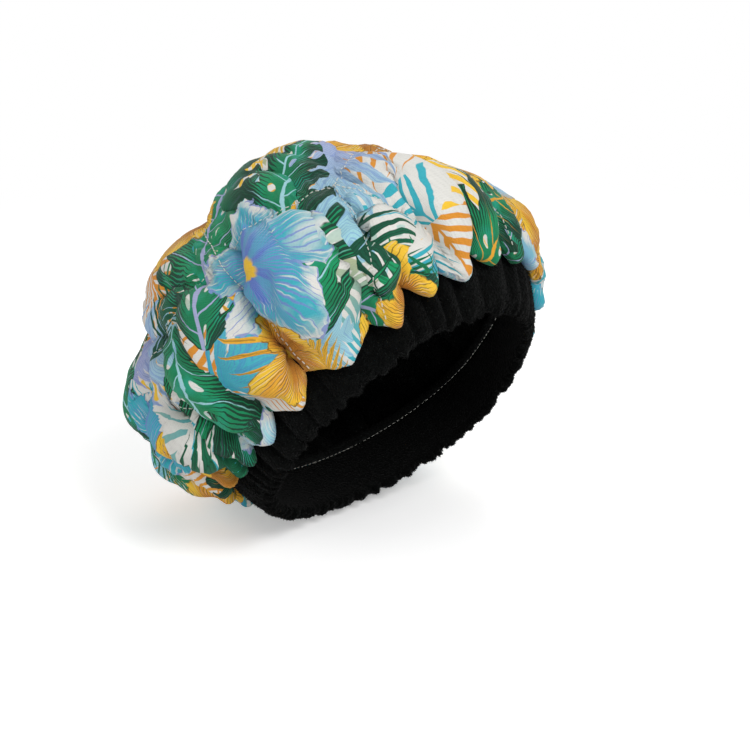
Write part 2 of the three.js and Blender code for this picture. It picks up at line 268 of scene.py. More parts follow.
def ripple(u, v, seed, waves=5):
    """Smooth uneven field from -1 to 1, the same on each run"""
    chance = np.random.default_rng(seed)
    total = 0
    for _ in range(waves):
        turn = chance.uniform(0, 2 * math.pi)
        pace = chance.uniform(0.6, 1.6)
        phase = chance.uniform(0, 2 * math.pi)
        total = total + np.sin(2 * math.pi * pace * (u * math.cos(turn) + v * math.sin(turn)) + phase)
    return total / waves ** 0.5 / 1.5


def edge_point(angle, grow, rise):
    angle, grow, rise = np.broadcast_arrays(angle, grow, rise)
    turn = angle + ARC_EVEN_SHARE * np.sin(2 * angle)
    length = np.where(np.cos(turn) > 0, OPENING_FRONT, OPENING_NAPE)
    sideways = np.sin(turn) * (OPENING_WIDTH / 2 + grow) + BAND_LEFT * rise / BAND_HEIGHT
    backwards = -np.cos(turn) * (length + grow)
    return sideways[..., None] * LEFT + backwards[..., None] * TOWARDS_NAPE + rise[..., None] * TOWARDS_CROWN


def band_point(angle, along, out):
    grow = along * math.sin(BAND_SLOPE) + out * math.cos(BAND_SLOPE)
    rise = along * math.cos(BAND_SLOPE) - out * math.sin(BAND_SLOPE)
    return edge_point(angle, grow, rise)


def fold_fields(angle, share):
    """Crest height from 0 to 1, how far each fold hangs and stands out, its valley's start and distance"""
    table = np.array(FOLDS, float)
    starts = table[:, 0]
    ends = np.append(starts[1:], starts[0] + 360)
    degrees = np.degrees(angle)
    turned = np.where(degrees < starts[0], degrees + 360, degrees)
    index = np.clip(np.searchsorted(starts, turned, side="right") - 1, 0, len(FOLDS) - 1)
    after = (index + 1) % len(FOLDS)
    width = ends[index] - starts[index]
    across = (turned - starts[index]) / width
    ease = smooth(across, 0, 1)
    tip = table[index, 1] * (1 - ease) + table[after, 1] * ease
    tip = (TIP_OWN_SHARE * table[index, 1] + (1 - TIP_OWN_SHARE) * tip) * MM
    stand = table[index, 2] * MM
    start = table[index, 3] * (1 - ease) + table[after, 3] * ease
    across = across ** FOLD_SKEW
    rounded = np.sin(math.pi * across) ** CREST_POWER
    pointed = 1 - np.abs(2 * across - 1)
    crest = ROUND_TIP_SHARE * rounded + (1 - ROUND_TIP_SHARE) * pointed
    beside = np.minimum(across, 1 - across) * np.radians(width) * share * CLOTH_RADIUS
    return crest, tip, stand, start, beside


def lip_place(crest, tip, stand):
    return tip + FOLD_NOTCH * (1 - crest), LIP_OUT + LIP_SWELL * stand * (crest - LIP_LEVEL)


def plain_lip(angle):
    """Lip of the cloth without its folds: lowest at the ears and level with the band's top at the nape"""
    middle, nape, ears = PLAIN_LIP_UP
    return (middle - nape * np.cos(angle) + ears * np.cos(2 * angle)) * MM


def skirt_point(angle, rise, crest, tip, stand):
    along, out = lip_place(crest, tip, stand)
    return band_point(angle, along + rise, out)


def under_lip(angle, share, crest, tip, stand, hem_out, hem_drop):
    """From the lip round its nose, up the band to the brow, over the band's top and down inside it"""
    along, out = lip_place(crest, tip, stand)
    low_out = BAND_THICKNESS + UNDER_LIP_GAP
    nose = (share - LIP_SHARE) / (BROW_SHARE - LIP_SHARE)
    turn = np.clip(nose / NOSE_SHARE, 0, 1)
    climb = np.clip((nose - NOSE_SHARE) / (1 - NOSE_SHARE), 0, 1)
    past = np.clip((share - BROW_SHARE) / (1 - BROW_SHARE), 0, 1)
    over = smooth(past, 0, 0.6)
    drop_in = hem_drop * smooth(past, 0.5, 1)
    drop = np.minimum(EDGE_SHARE * (out - low_out), FOLD_EDGE)
    steps = [(along, out), (along - drop, out), (along - drop, low_out), (along + CURL_UP, low_out)]
    weights = [(1 - turn) ** 3, 3 * turn * (1 - turn) ** 2, 3 * turn * turn * (1 - turn), turn ** 3]
    here_along = sum(weight * step[0] for weight, step in zip(weights, steps))
    here_out = sum(weight * step[1] for weight, step in zip(weights, steps))
    here_along = here_along + (BAND_REACH + BROW_RISE - here_along) * climb
    here_out = here_out + (BAND_THICKNESS + BROW_GAP - here_out) * climb
    return band_point(angle, here_along - drop_in, here_out + (hem_out - here_out) * over)


def body_point(angle, share):
    to_lip = unit(band_point(angle, plain_lip(angle), LIP_OUT) - BODY_CENTRE)
    arc = np.arccos(np.clip(to_lip @ TOWARDS_CROWN, -1, 1)) * share / LIP_SHARE
    across = unit(to_lip - (to_lip @ TOWARDS_CROWN)[..., None] * TOWARDS_CROWN)
    ray = np.cos(arc)[..., None] * TOWARDS_CROWN + np.sin(arc)[..., None] * across
    half_axes = ((LEFT, BODY_WIDTH / 2), (BODY_BACK, BODY_LENGTH / 2), (BODY_UP, BODY_HEIGHT / 2))
    scaled = np.stack([ray @ axis / half for axis, half in half_axes], -1)
    return BODY_CENTRE + ray / np.linalg.norm(scaled, axis=-1, keepdims=True)


def disc_place(a, b):
    near_rim = np.maximum(np.abs(a), np.abs(b)) / HALF
    settle = 1 - near_rim * near_rim
    x = (a * math.cos(GRID_TURN) + b * math.sin(GRID_TURN)) * GRID_REACH / HALF - GRID_BACK * settle
    y = (a * math.sin(GRID_TURN) - b * math.cos(GRID_TURN)) * GRID_REACH / HALF - GRID_RIGHT * settle
    radius = np.hypot(x, y)
    pulled = radius + (near_rim - radius) * smooth(near_rim, SQUARE_SHARE, ROUND_SHARE)
    scale = np.where(radius > 0, pulled / np.maximum(radius, 1e-9), 1)
    return x * scale, y * scale


def grid_normals(points):
    along_a = np.gradient(points, axis=0)
    along_b = np.gradient(points, axis=1)
    return unit(np.cross(along_b, along_a))


def long_folds(x, y):
    """How far the long valleys draw the cloth in and the rolls beside them push it out"""
    total = 0
    for x_start, y_start, x_end, y_end, depth, roll in LONG_FOLDS:
        run_x, run_y = x_end - x_start, y_end - y_start
        run = math.hypot(run_x, run_y)
        along = ((x - x_start) * run_x + (y - y_start) * run_y) / run ** 2
        beside = ((x - x_start) * run_y - (y - y_start) * run_x) / run
        beside = beside + LONG_FOLD_BEND * run * np.sin(2 * math.pi * along)
        beside = np.abs(beside) * CLOTH_RADIUS
        shown = smooth(along, -0.2, 0.3) * (1 - smooth(along, 0.8, 1.2))
        rolls = roll * np.exp(-((beside - ROLL_BESIDE) / ROLL_WIDTH) ** 2)
        valley = depth * np.exp(-beside / LONG_FOLD_WIDTH)
        total = total + LONG_FOLD_SHARE * (rolls - valley) * shown * MM
    return total


class Quilt:
    """The quilt's middle on a square grid of lines, with each place's normal, pocket height and flat place"""

    def __init__(self, steps, hem_out, hem_drop):
        inner_steps, rim_steps = steps
        inner = np.arange((CELLS - 2) * inner_steps) / inner_steps + 1 - HALF
        rim = np.arange(rim_steps + 1) / rim_steps + HALF - 1
        self.lines = np.concatenate([-rim[:0:-1], inner, rim])
        self.inner_steps, self.rim_steps = inner_steps, rim_steps
        self.a, self.b = np.meshgrid(self.lines, self.lines, indexing="ij")
        self.x, self.y = disc_place(self.a, self.b)
        self.share = np.minimum(np.hypot(self.x, self.y), 1)
        self.angle = np.arctan2(self.y, self.x)
        self.above_lip = 1 - smooth(self.share, RELIEF_END, LIP_SHARE)
        self.middle = self.middle_surface(hem_out, hem_drop)
        self.normal = grid_normals(self.middle)
        self.height = self.pocket_height()

    def middle_surface(self, hem_out, hem_drop):
        """On the body, over into the folds' lips, and from there under them to the hem"""
        angle, share = self.angle, self.share
        crest, tip, stand, start, beside = fold_fields(angle, share)
        on_body = np.minimum(share, LIP_SHARE)
        body = body_point(angle, on_body)
        skirt = skirt_point(angle, (LIP_SHARE - on_body) * CLOTH_RADIUS, crest, tip, stand)
        middle = lerp(body, skirt, smooth(share, SKIRT_START, SKIRT_END))
        reach = smooth(share, start - 0.06, start + 0.1) * (1 - smooth(share, 0.66, 0.8))
        folds = stand * CREST_SWELL * (crest - CREST_LEVEL) * reach
        fullness = sum(out * MM * np.exp(-((self.x - x) ** 2 + (self.y - y) ** 2) / width ** 2)
                       for x, y, width, out in FULLNESS) * (1 - smooth(share, FULLNESS_END, LIP_SHARE))
        valley = smooth(share, start - 0.04, start + 0.06) * self.above_lip
        cut = VALLEY_DEPTH * np.exp(-beside / VALLEY_WIDTH) * valley
        lines = long_folds(self.x, self.y) * self.above_lip
        middle = middle + unit(body - BODY_CENTRE) * (folds + fullness - cut + lines)[..., None]
        under = under_lip(angle, share, crest, tip, stand, hem_out, hem_drop)
        return np.where((share >= LIP_SHARE)[..., None], under, middle)

    def pocket_height(self):
        """Sets each place's column and row, and gives its pillow's height from 0 at the seams"""
        def across(place):
            cell = np.clip(np.floor(place + HALF).astype(int), 0, CELLS - 1)
            inside = place + HALF - cell
            outermost = (cell == 0) | (cell == CELLS - 1)
            from_seam = np.where(cell == 0, 1 - inside, inside)
            span = np.where(outermost, np.minimum(from_seam / RIM_POCKET_SHARE, 1), inside)
            return cell, np.maximum(np.sin(math.pi * span), 0) ** PILLOW_SHARE
        self.column, over_column = across(self.a)
        self.row, over_row = across(self.b)
        return over_column * over_row * POCKET_FILL[self.column, self.row]

    def seam_distances(self):
        """Distances to the nearest seam of either direction, in pocket widths"""
        last = HALF - 1
        nearest = [np.clip(np.round(place - 0.5) + 0.5, -last, last) for place in (self.a, self.b)]
        return np.abs(self.a - nearest[0]), np.abs(self.b - nearest[1])


def ridged(field):
    """Sharp lines where an uneven field crosses zero: 1 on the lines and -1 away from them"""
    return 1 - 2 * np.minimum(CREASE_SHARPNESS * np.abs(field), 1)


def fine_relief(quilt, pucker, crease):
    """Puckers across the seams, gathers up from the band, and creases all over and away from the crown"""
    x, y, share, angle = quilt.x, quilt.y, quilt.share, quilt.angle
    to_a, to_b = quilt.seam_distances()
    wobble = 0.5 * ripple(quilt.a * 1.3, quilt.b * 1.3, 3)
    pace_a, pace_b = PUCKERS_PER_POCKET
    along_a = np.sin(2 * math.pi * (quilt.b * pace_a + wobble)) * np.exp(-to_a / PUCKER_REACH)
    along_b = np.sin(2 * math.pi * (quilt.a * pace_b + wobble)) * np.exp(-to_b / PUCKER_REACH)
    off_thread = np.clip(np.minimum(to_a, to_b) * 14 + 0.35, 0, 1)
    fine = pucker * (along_a + along_b) * quilt.above_lip * off_thread
    near_band = smooth(share, 0.5, 0.8) * (1 - 0.8 * smooth(share, LIP_SHARE, BROW_SHARE))
    uneven = 0.6 + 0.4 * ripple(x * 2.5, y * 2.5, 17)
    for folds, height, seed in GATHERS:
        gather = np.abs(np.sin(angle * folds + 2.2 * ripple(x * 2, y * 2, seed)))
        fine = fine + height * crease * (gather - 0.64) * near_band * uneven
    for pace, height, seed in CREASES:
        fine = fine - height * crease * ridged(ripple(x * pace, y * pace, seed)) * quilt.above_lip
    run_x, run_y = np.cos(angle) + 0.35 * y, np.sin(angle) - 0.35 * x
    away = smooth(share, 0.3, 0.5) * quilt.above_lip
    for pace, height, seed in RADIAL_CREASES:
        fine = fine - height * crease * ridged(ripple(run_x * pace, run_y * pace, seed)) * away
    return fine


def quilt_surface(quilt, offset, puff, sag, pucker, crease):
    """The grid moved along its normals, puffed in its pockets, sagging in them, puckered and creased"""
    out = offset + puff * quilt.height + fine_relief(quilt, pucker, crease)
    if offset > 0:
        out = np.maximum(out, LEAST_OFFSET)
    points = quilt.middle + quilt.normal * out[..., None]
    down = -UPWARDS + (quilt.normal @ UPWARDS)[..., None] * quilt.normal
    return points + down * (sag * quilt.height ** SAG_POWER)[..., None]


def cloth_surface(sizes, steps):
    quilt = Quilt(steps, COTTON_HEM_OUT, 0)
    return quilt, quilt_surface(quilt, LAYER_OFFSET, sizes.puff_out, sizes.sag, sizes.pucker, sizes.crease)


def lining_surface(sizes, steps):
    quilt = Quilt(steps, LINING_HEM_OUT, LINING_HEM_DROP)
    return quilt, quilt_surface(quilt, -LAYER_OFFSET, -sizes.puff_in, 0, -0.3 * sizes.pucker, 0)


def deselect():
    if bpy.context.mode != "OBJECT":
        bpy.ops.object.mode_set(mode="OBJECT")
    bpy.ops.object.select_all(action="DESELECT")


def make_active(obj):
    deselect()
    obj.select_set(True)
    bpy.context.view_layer.objects.active = obj


def apply_modifiers(obj):
    make_active(obj)
    for modifier in list(obj.modifiers):
        bpy.ops.object.modifier_apply(modifier=modifier.name)


def grid_faces(rows, columns, wrap=False):
    spans = columns if wrap else columns - 1
    i, j = np.meshgrid(np.arange(rows - 1), np.arange(spans), indexing="ij")
    after = (j + 1) % columns
    here, beyond = i * columns, (i + 1) * columns
    return np.stack([here + j, here + after, beyond + after, beyond + j], -1).reshape(-1, 4)


def mesh_piece(name, points, faces, material, **maps):
    """A smooth mesh riding the cap's body, with a UV map for each further name"""
    mesh = bpy.data.meshes.new(name)
    mesh.from_pydata(np.asarray(points).reshape(-1, 3).tolist(), [], np.asarray(faces).tolist())
    corners = np.empty(len(mesh.loops), int)
    mesh.loops.foreach_get("vertex_index", corners)
    for label, uvs in maps.items():
        layer = mesh.uv_layers.new(name=label)
        layer.data.foreach_set("uv", np.asarray(uvs).reshape(-1, 2)[corners].astype(float).ravel())
    mesh.materials.append(material)
    mesh.polygons.foreach_set("use_smooth", np.ones(len(mesh.polygons), bool))
    mesh.update()
    obj = bpy.data.objects.new(name, mesh)
    bpy.context.scene.collection.objects.link(obj)
    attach(obj, BODY)
    return obj


def thicken(obj, thickness):
    """Gives a sheet its thickness on the inner side"""
    solid = obj.modifiers.new("Cloth", "SOLIDIFY")
    solid.thickness = thickness
    solid.offset = -1
    solid.use_even_offset = False
    apply_modifiers(obj)


class Term:
    """A node socket that can be summed like a number or a vector"""

    def __init__(self, nodes, socket):
        self.nodes = nodes
        self.socket = socket
        self.wide = socket.type in ("VECTOR", "RGBA")

    def pair(self, operation, first, second):
        if self.wide:
            return self.nodes.vector(operation, first, second)
        return self.nodes.math(operation, first, second)

    def __add__(self, other):
        return self.pair("ADD", self, other)

    def __sub__(self, other):
        return self.pair("SUBTRACT", self, other)

    def __rsub__(self, other):
        return self.pair("SUBTRACT", other, self)

    def __mul__(self, other):
        if self.wide:
            return self.nodes.vector("SCALE", self, scale=other)
        return self.nodes.math("MULTIPLY", self, other)

    def __truediv__(self, other):
        return self.nodes.math("DIVIDE", self, other)

    def __rtruediv__(self, other):
        return self.nodes.math("DIVIDE", other, self)

    def __pow__(self, other):
        return self.nodes.math("POWER", self, other)

    def __abs__(self):
        return self.nodes.math("ABSOLUTE", self)

    __radd__ = __add__
    __rmul__ = __mul__


class Nodes:
    """Writes a node tree's sums in short form"""

    def __init__(self, tree):
        self.tree = tree

    def add(self, kind, **settings):
        node = self.tree.nodes.new(kind)
        for key, value in settings.items():
            setattr(node, key, value)
        return node

    def put(self, socket, value):
        if isinstance(value, Term):
            self.tree.links.new(value.socket, socket)
        elif hasattr(value, "__len__") and len(value) == 3 and len(socket.default_value) == 4:
            socket.default_value = (*value, 1)
        else:
            socket.default_value = value

    def fill(self, node, **values):
        """Sets the named inputs, with spaces for underscores"""
        for name, value in values.items():
            self.put(node.inputs[name.replace("_", " ")], value)
        return node

    def outputs(self, node):
        return [Term(self, socket) for socket in node.outputs]

    def math(self, operation, first, second=0.0, clamp=False):
        node = self.add("ShaderNodeMath", operation=operation, use_clamp=clamp)
        self.put(node.inputs[0], first)
        self.put(node.inputs[1], second)
        return Term(self, node.outputs[0])

    def vector(self, operation, first, second=(0, 0, 0), scale=None):
        node = self.add("ShaderNodeVectorMath", operation=operation)
        self.put(node.inputs[0], first)
        self.put(node.inputs[1], second)
        if scale is not None:
            self.put(node.inputs["Scale"], scale)
        return Term(self, node.outputs["Value" if operation == "LENGTH" else "Vector"])

    def larger(self, first, second):
        return self.math("MAXIMUM", first, second)

    def step(self, value, start, end):
        node = self.add("ShaderNodeMapRange", interpolation_type="SMOOTHSTEP")
        self.fill(node, Value=value, From_Min=start, From_Max=end)
        return Term(self, node.outputs[0])

    def mix(self, share, first, second):
        node = self.add("ShaderNodeMix", data_type="RGBA")
        self.put(node.inputs["Factor"], share)
        self.put(node.inputs[6], first)
        self.put(node.inputs[7], second)
        return Term(self, node.outputs[2])

    def split(self, vector):
        node = self.add("ShaderNodeSeparateXYZ")
        self.put(node.inputs[0], vector)
        return self.outputs(node)

    def join(self, x, y, z=0.0):
        return Term(self, self.fill(self.add("ShaderNodeCombineXYZ"), X=x, Y=y, Z=z).outputs[0])

    def noise(self, vector, scale, detail=2.0, colour=False):
        node = self.fill(self.add("ShaderNodeTexNoise"), Vector=vector, Scale=scale, Detail=detail)
        return Term(self, node.outputs["Color" if colour else "Fac"])

    def random(self, vector):
        node = self.add("ShaderNodeTexWhiteNoise", noise_dimensions="3D")
        self.put(node.inputs["Vector"], vector)
        return self.split(Term(self, node.outputs["Color"]))

    def wave(self, value):
        """Distance from the nearest whole number, from 0 to 1"""
        return self.math("PINGPONG", value, 0.5) * 2

    def uv(self, name):
        return Term(self, self.add("ShaderNodeUVMap", uv_map=name).outputs[0])

    def place(self):
        return Term(self, self.add("ShaderNodeTexCoord").outputs["Object"])

    def seen(self):
        """1 for what the camera sees, straight, mirrored or through something"""
        rays = self.add("ShaderNodeLightPath").outputs
        straight, mirrored, through = (
            Term(self, rays[name]) for name in ("Is Camera Ray", "Is Glossy Ray", "Is Transmission Ray"))
        return self.larger(straight, self.larger(mirrored, through))

    def group(self, tree, *values):
        node = self.add("ShaderNodeGroup", node_tree=tree)
        for socket, value in zip(node.inputs, values):
            self.put(socket, value)
        return self.outputs(node)


def node_group(name, inputs, outputs):
    """A new group of number sockets, or vector ones for names in _place: its writer, inputs and end"""
    tree = bpy.data.node_groups.new(name, "ShaderNodeTree")
    for direction, labels in (("INPUT", inputs), ("OUTPUT", outputs)):
        for label in labels:
            kind = "NodeSocketVector" if label.endswith("_place") else "NodeSocketFloat"
            tree.interface.new_socket(label, in_out=direction, socket_type=kind)
    n = Nodes(tree)
    given = [term for term in n.outputs(n.add("NodeGroupInput")) if term.socket.name]
    return n, given, n.add("NodeGroupOutput")


def motif_place_group():
    """Cuts the turned cloth into squares, each with its own frame in millimetres and two chances"""
    inputs = ["cloth_place", "size", "shift_place", "jitter", "turn"]
    n, (cloth, size, shift, jitter, turn), made = node_group(
        "motif_place", inputs, ["x", "y", "chance", "other"])
    turned = n.fill(n.add("ShaderNodeVectorRotate", rotation_type="Z_AXIS"), Vector=cloth, Angle=turn)
    scaled = (Term(n, turned.outputs[0]) + shift) * (1 / size)
    square = n.vector("FLOOR", scaled)
    chance = n.random(square + shift * 0.173)
    more = n.random(square + (17.3, 5.1, 3.7))
    moved = n.join((chance[1] - 0.5) * jitter, (chance[2] - 0.5) * jitter)
    x, y, _ = n.split((scaled - square - (0.5, 0.5, 0) - moved) * size)
    turn = chance[0] * (2 * math.pi)
    cosine, sine = n.math("COSINE", turn), n.math("SINE", turn)
    n.fill(made, x=x * cosine + y * sine, y=y * cosine - x * sine, chance=more[0], other=more[1])
    return n.tree


def split_leaf_group():
    """A broad leaf with rounded slits and holes between its side veins, fine ink lines and shade"""
    n, (x, y, length, width), made = node_group(
        "split_leaf", ["x", "y", "length", "width"], ["mask", "vein", "ink", "shade"])
    along = x / length
    side = y + along * along * 7
    away = abs(side)
    taper = n.larger(1 - along * along, 0)
    outwards = away / n.larger(width * taper ** 0.6 * (1 - along * 0.35), 0.01)
    other_side = n.math("GREATER_THAN", side, 0) * 6
    swept = x + other_side - away * 0.62 - away * outwards * 0.2
    rib = n.wave(swept / 16)
    depth = n.noise(n.join(swept / 16, other_side), 1.3) * 0.5 + 0.22
    narrowing = 1 - n.step(outwards, 0.75, 1.0) * 0.5
    gap = n.step(outwards, depth, depth + 0.25) * narrowing * 0.5 - 0.06
    hole = n.vector("LENGTH", n.join(rib / 0.3, outwards * 13 - 2.6))
    at_rim = outwards / (rib ** 0.6 * 0.15 + 0.84)
    slit = n.step(rib, gap - 0.02, gap + 0.02)
    n.fill(made, mask=n.step(at_rim, 1.0, 0.98) * slit * n.step(hole, 0.9, 1.05))
    thick = 1.1 - along * 0.55
    side_vein = n.step(rib, 0.93, 0.97) * n.step(outwards, 0.9, 0.55)
    n.fill(made, vein=n.larger(n.step(away, thick, thick - 0.35), side_vein))
    hatch = n.wave(swept / 2.1 + n.noise(n.join(x, y), 0.09, 1.0) * 1.6)
    dense = n.step(n.noise(n.join(x, y, 6.0), 0.035, 1.0), 0.5, 0.6)
    line = n.step(outwards, 0.05, 0.7) * n.step(n.noise(n.join(x, y, 4.0), 0.05, 1.0), 0.27, 0.45)
    line = line * (0.7 + dense * 0.35)
    slit_border = n.step(rib, gap + 0.11, gap + 0.07) * n.step(gap, 0.0, 0.04)
    border = n.larger(n.step(at_rim, 0.955, 0.975), slit_border)
    n.fill(made, ink=n.larger(n.step(hatch, line, line - 0.16), border))
    cloud = n.step(n.noise(n.join(x, y, 9.0), 0.045, 3.0), 0.38, 0.66) * 0.7
    n.fill(made, shade=n.larger(n.step(outwards, 0.55, 0.0) * 0.6, cloud))
    return n.tree


def frond_group():
    """A frond of narrow leaflets on one stem: its mask, ink lines, place along the stem and whole outline"""
    inputs = ["x", "y", "length", "width", "pitch", "thickness"]
    n, (x, y, length, width, pitch, thickness), made = node_group(
        "frond", inputs, ["mask", "ink", "along", "whole"])
    side = y + n.math("SINE", x / 24) * 5
    away = abs(side)
    along = x / length
    outwards = away / n.larger(width * (1 - abs(along) ** 2.5), 0.01)
    swept = x - away * 1.1
    leaflet = n.wave(swept / pitch)
    reach = thickness * (1.25 - n.noise(n.join(swept, 0.0), 0.35) * 0.5 - outwards ** 1.6)
    within = n.step(abs(along), 1.0, 0.98)
    whole = n.step(outwards, 1.0, 0.98) * within
    blade = n.step(1 - leaflet, reach, reach - 0.08) * whole
    stem = n.step(away, 1.0, 0.6) * within
    hatch = n.wave(swept / 1.5 + n.noise(n.join(x, side), 0.2, 1.0))
    inked = n.larger(n.step(hatch, 0.34, 0.2), n.step(leaflet, 0.9, 0.96))
    n.fill(made, mask=n.larger(blade, stem), ink=inked, whole=whole,
           along=n.math("ADD", along * 0.5, 0.5, clamp=True))
    return n.tree


def flower_group():
    """An open flower of five petals: its mask, ink lines, distance from the heart, heart, wash and streaks"""
    n, (x, y, size), made = node_group(
        "flower", ["x", "y", "size"], ["mask", "ink", "out", "heart", "wash", "pale"])
    flat = n.join(x, y)
    distance = n.vector("LENGTH", flat) / size
    turn = (n.math("ARCTAN2", y, x) + distance * 0.4) * (5 / (2 * math.pi))
    ridge = n.wave(turn + n.noise(flat, 0.04) * 0.9)
    frill = (n.noise(flat, 0.2) - 0.5) * 0.2
    out = distance / (ridge ** 0.55 * 0.42 + 0.5 + frill)
    towards = n.vector("NORMALIZE", flat)
    drift = n.noise(flat, 0.06, 1.0) * 3 + n.noise(flat, 0.3, 1.0) * 0.5
    streak = n.wave(turn * 20 + drift)
    reach = n.step(out, 0.04, 0.14) * n.step(out, n.noise(towards, 9, 1.0) * 1.4 + 0.5, 0.2) * 0.62
    glint = n.wave(turn * 13 + drift + 0.3)
    pale = n.step(glint, 0.3, 0.12) * n.step(out, 0.2, 0.45) * n.step(n.noise(flat, 0.08, 1.0), 0.42, 0.56)
    border = n.step(out, 0.955, 0.97) * n.step(n.noise(flat, 0.13, 1.0), 0.42, 0.5)
    part = n.step(ridge, 0.07, 0.02) * n.step(out, 0.15, 0.3)
    n.fill(made, mask=n.step(out, 1.0, 0.985), out=out, heart=n.step(out + ridge * 0.05, 0.17, 0.13),
           ink=n.larger(n.step(streak, reach, reach - 0.12), n.larger(border, part)), pale=pale,
           wash=n.noise(towards + n.join(0.0, 0.0, out * 0.5), 3.2, 3.0))
    return n.tree


def palette(scene):
    """The colour settings as plain colours"""
    colours = scene.heat_cap_colours
    return SimpleNamespace(**{name: tuple(getattr(colours, name)) for name in colours.__annotations__})


def times(colour, factor):
    return tuple(min(factor * channel, 1) for channel in colour)


def blend(share, first, second):
    return tuple(here + (there - here) * share for here, there in zip(first, second))


# A shift too small to see, by which each layer of the print waits for the one below. A shader holds few
# values at once, and turns black where all the layers are worked out side by side
HOLD = 0.0001


def print_colour(n, cloth, ink):
    """Layers of leaves, fronds and flowers on the off-white ground, each in its own squares"""
    place, leaf, frond, flower = motif_place_group(), split_leaf_group(), frond_group(), flower_group()
    cloth = cloth + n.vector("MULTIPLY", n.noise(cloth, 0.12, colour=True) - (0.5, 0.5, 0), (2.4, 2.4, 0))
    colour = n.mix(n.step(n.noise(cloth, 0.05, 3.0), 0.4, 0.7), ink.ground, times(ink.ground, 0.94))

    def squares(size, shift, jitter, turn):
        after_below = cloth + colour * HOLD
        return n.group(place, after_below, size, (*shift, 0), jitter, math.radians(turn))

    # Every row below starts with its squares' size and shift in millimetres, and has their turn in degrees

    # Thin stripes of ochre and turquoise on the ground that is left
    for size, shift, length, width, pitch, turn, first, second in (
            (80.0, (33.0, 52.0), 60.0, 62.0, 9.0, 118, ink.pale_blue, ink.yellow),
            (92.0, (47.0, 21.0), 52.0, 36.0, 8.0, 71, ink.ochre, ink.turquoise),
            (96.0, (11.0, 66.0), 50.0, 30.0, 7.2, 9, ink.turquoise, ink.ochre)):
        x, y, chance, _ = squares(size, shift, 0.2, turn)
        mask, _, along, whole = n.group(frond, x, y, length, width, pitch, 0.6)
        stripe = n.mix(n.step(chance, 0.48, 0.5), first, second)
        stripe = n.mix(n.step(along, 0.4, 1.0) * 0.5, stripe, ink.yellow)
        colour = n.mix(mask, n.mix(whole, colour, ink.ground), stripe)

    # Washes of turquoise and lilac with pale streaks
    x, y, chance, _ = squares(112.0, (31.0, 74.0), 0.09, 12)
    mask, inked, along, _ = n.group(frond, x, y, 54.0, 32.0, 12.0, 1.1)
    wash = n.mix(n.step(chance, 0.6, 0.7), ink.turquoise, ink.lilac)
    wash = n.mix(n.step(along, 0.1, 0.9), wash, ink.pale_blue)
    colour = n.mix(mask, colour, n.mix(inked * 0.4, wash, ink.blue))

    # Dark, ochre and green fronds of thin strokes
    for size, shift, length, width, pitch, turn, ochre_from in (
            (118.0, (83.0, 12.0), 54.0, 22.0, 5.2, 33, 0.55),
            (131.0, (19.0, 51.0), 60.0, 30.0, 6.5, 58, 0.9)):
        x, y, chance, _ = squares(size, shift, 0.08, turn)
        mask, inked, along, _ = n.group(frond, x, y, length, width, pitch, 1.0)
        stroke = n.mix(n.step(along, 0.2, 0.8), ink.dark_green, ink.green)
        warm = n.step(chance, ochre_from, ochre_from + 0.02)
        stroke = n.mix(warm, stroke, n.mix(along, ink.ochre, ink.yellow))
        colour = n.mix(mask, colour, n.mix(inked * 0.75, stroke, n.mix(0.6, stroke, ink.ink)))

    # Broad split leaves
    for size, shift, length, width, turn, kept_from, line in (
            (152.0, (0.0, 0.0), 67.0, 40.0, 5, 0.0, ink.lilac),
            (139.0, (66.0, 57.0), 60.0, 32.0, 40, 0.12, ink.pale_blue)):
        x, y, chance, other = squares(size, shift, 0.11, turn)
        mask, vein, inked, shade = n.group(leaf, x, y, length, width)
        green = n.mix(shade, ink.green, blend(0.75, ink.green, ink.dark_green))
        patch = n.step(n.noise(n.join(x, y, 2.0), 0.07), 0.5, 0.75)
        green = n.mix(patch, green, blend(0.25, ink.green, ink.turquoise))
        line = n.mix(n.step(other, 0.7, 0.72), line, blend(0.4, ink.ochre, ink.yellow))
        green = n.mix(vein, green, line)
        mask = mask * n.math("GREATER_THAN", chance, kept_from)
        colour = n.mix(mask, colour, n.mix(inked * 0.9, green, ink.ink))

    # Flowers: cool ones, and warm ones of yellow and orange
    for size, shift, radius, warm_from, turn in (
            (126.0, (58.0, 3.0), 46.0, 0.66, 21),
            (131.0, (112.0, 95.0), 37.0, 0.45, 47)):
        x, y, chance, other = squares(size, shift, 0.3, turn)
        mask, inked, out, heart, wash, pale = n.group(flower, x, y, radius)
        spread = out + (wash - 0.5) * 1.5
        cool = n.mix(n.step(other, 0.45, 1.0), ink.turquoise, ink.pale_blue)
        cool = n.mix(n.step(spread, 0.05, 0.4), ink.blue, cool)
        edge = n.mix(n.step(other, 0.45, 0.47), ink.turquoise, ink.ground)
        cool = n.mix(n.step(spread, 0.6, 1.1), cool, edge)
        cool = n.mix(pale * 0.7, cool, ink.ground)
        yellow = n.mix(n.step(spread, 0.35, 1.0), ink.ochre, ink.yellow)
        yellow = n.mix(pale * 0.35, yellow, ink.ground)
        warm = n.math("GREATER_THAN", chance, warm_from)
        line = n.mix(warm, blend(0.3, ink.blue, ink.lilac), blend(0.2, ink.ink, ink.ochre))
        face = n.mix(inked * 0.8, n.mix(warm, cool, yellow), line)
        colour = n.mix(mask, colour, n.mix(heart, face, ink.yellow))
    return colour


def principled(name, roughness, specular=0.5, sheen=0.0):
    material = bpy.data.materials.new(name)
    material.use_nodes = True
    n = Nodes(material.node_tree)
    shader = material.node_tree.nodes["Principled BSDF"]
    n.fill(shader, Roughness=roughness, Specular_IOR_Level=specular, Sheen_Weight=sheen)
    return material, n, shader


